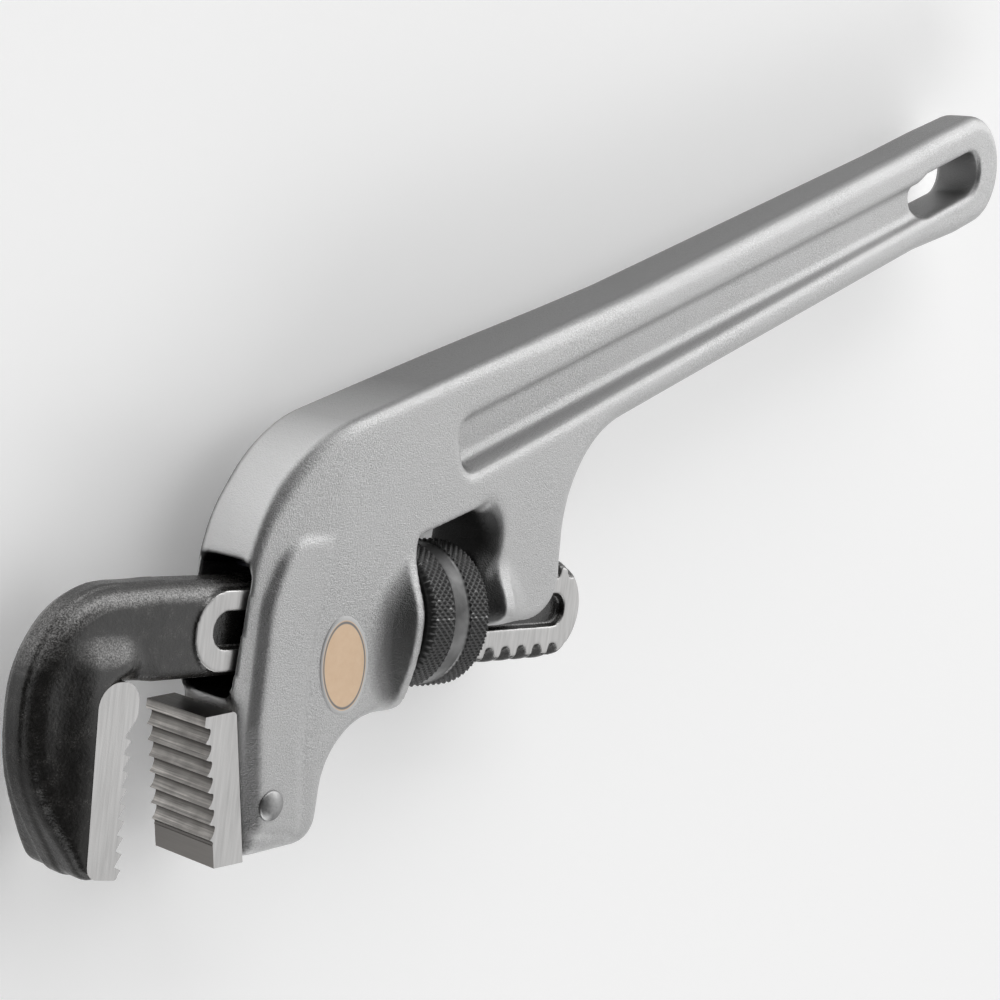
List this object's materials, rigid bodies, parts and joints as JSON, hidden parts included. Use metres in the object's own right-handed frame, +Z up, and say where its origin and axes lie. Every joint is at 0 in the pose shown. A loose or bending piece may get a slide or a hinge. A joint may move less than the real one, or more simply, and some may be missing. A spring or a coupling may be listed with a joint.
{
  "type": "pipe wrench",
  "caption": "Offset-handle pipe wrench with a cast aluminium handle, a toothed hook jaw that slides in the housing, a toothed heel jaw and a knurled adjusting nut.",
  "frame": {"origin": "middle of the bounding box's base, with the wrench lying on its side and its jaws opening along X", "axes": "+X from the hook jaw towards the handle's end, along the hook jaw's shank; +Y from the mouth of the jaws towards the handle's back; +Z up through the tool's thickness"},
  "size_m": [0.2432, 0.1348, 0.0236],
  "materials": {
    "cast_aluminium": "fine blasted casting, satin",
    "forged_steel": "black forged skin with bright ground flats",
    "ground_steel": "surface ground, fine parallel lines",
    "bright_steel": "turned, bright",
    "black_oxide_steel": "knurled, black oxide, worn bright at the middle",
    "spring_steel": "blued, smooth",
    "label_film": "printed film, satin"
  },
  "bodies": {
    "housing": {"handle_housing": "cast_aluminium", "heel_jaw": "ground_steel", "heel_jaw_pin": "bright_steel", "coil_spring": "spring_steel", "spring_rivet": "bright_steel", "label": "label_film"},
    "rocking_carrier": {"flat_spring": "spring_steel"},
    "hook_jaw": {"hook_jaw": "forged_steel"},
    "nut": {"adjusting_nut": "black_oxide_steel"}
  },
  "joints": [
    {"name": "jaw_rock", "type": "hinge", "parent": "housing", "child": "rocking_carrier", "pos_m": [-0.04508, -0.033, 0.01182], "axis": [0, 0, 1], "range_deg": [-2, 2], "stiffness_Nm_per_rad": 4, "deforming": ["flat_spring", "coil_spring"]},
    {"name": "jaw_slide", "type": "slide", "parent": "rocking_carrier", "child": "hook_jaw", "axis": [-1, 0, 0], "range_m": [-0.012, 0.025]},
    {"name": "nut_spin", "type": "hinge", "parent": "rocking_carrier", "child": "nut", "pos_m": [-0.04508, -0.033, 0.01182], "axis": [1, 0, 0], "range_deg": [-1045, 2172]}
  ],
  "couplings": [
    {"joint": "nut_spin", "follows": "jaw_slide", "rad_per_m": 1514}
  ]
}
